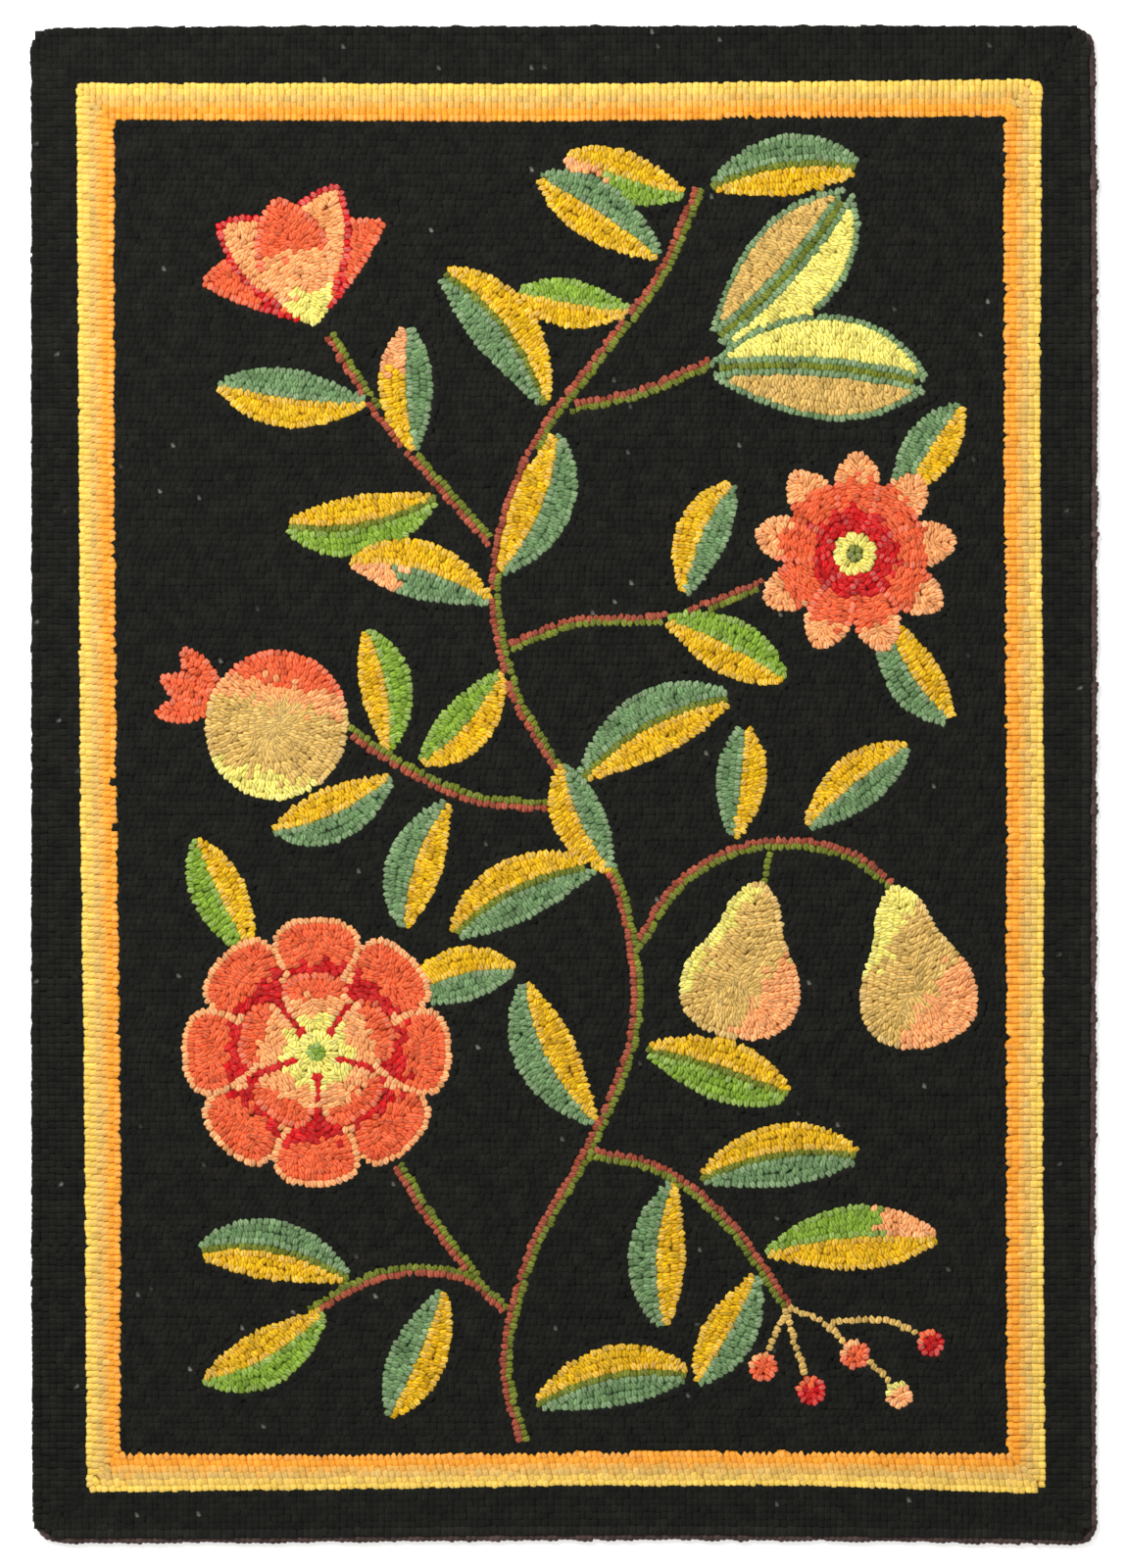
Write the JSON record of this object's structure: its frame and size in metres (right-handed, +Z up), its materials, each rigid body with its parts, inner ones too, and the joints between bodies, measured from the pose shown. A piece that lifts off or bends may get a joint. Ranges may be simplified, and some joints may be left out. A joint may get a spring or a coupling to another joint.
{
  "type": "hooked rug",
  "caption": "Small rectangular wool rug hooked in loops, with a black ground, a gold frame line, a flower and fruit branch design and a whipped edge.",
  "frame": {"origin": "centre of the rug's underside, on the floor", "axes": "+X across the rug's width, +Y along its length towards the end shown at the top, +Z up out of the pile"},
  "size_m": [0.5344, 0.7616, 0.008],
  "materials": {
    "wool_black": "matt looped wool yarn, the ground and the outer border",
    "edge_yarn": "matt brownish black yarn, overcast round the edge",
    "foundation_cloth": "plain woven unbleached cotton cloth, the back of the rug",
    "wool_straw": "matt looped wool yarn, outer rows of the frame line",
    "wool_tan": "matt looped wool yarn, middle rows of the frame line and the fruit",
    "wool_orange": "matt looped wool yarn, inner rows of the frame line",
    "wool_mustard": "matt looped wool yarn, sunlit halves of the leaves",
    "wool_sage": "matt looped wool yarn, shaded halves of the leaves",
    "wool_leaf": "matt looped wool yarn, fresh green leaves",
    "wool_moss": "matt looped wool yarn, leaf veins and stems",
    "wool_lemon": "matt looped wool yarn, highlights and flower eyes",
    "wool_peach": "matt looped wool yarn, pale petals and blush",
    "wool_coral": "matt looped wool yarn, petals",
    "wool_red": "matt looped wool yarn, deep petal shading",
    "wool_rust": "matt looped wool yarn, woody stems"
  },
  "bodies": {
    "root": {"hooked_mat": "wool_black", "whipped_edge": "edge_yarn"}
  },
  "joints": []
}
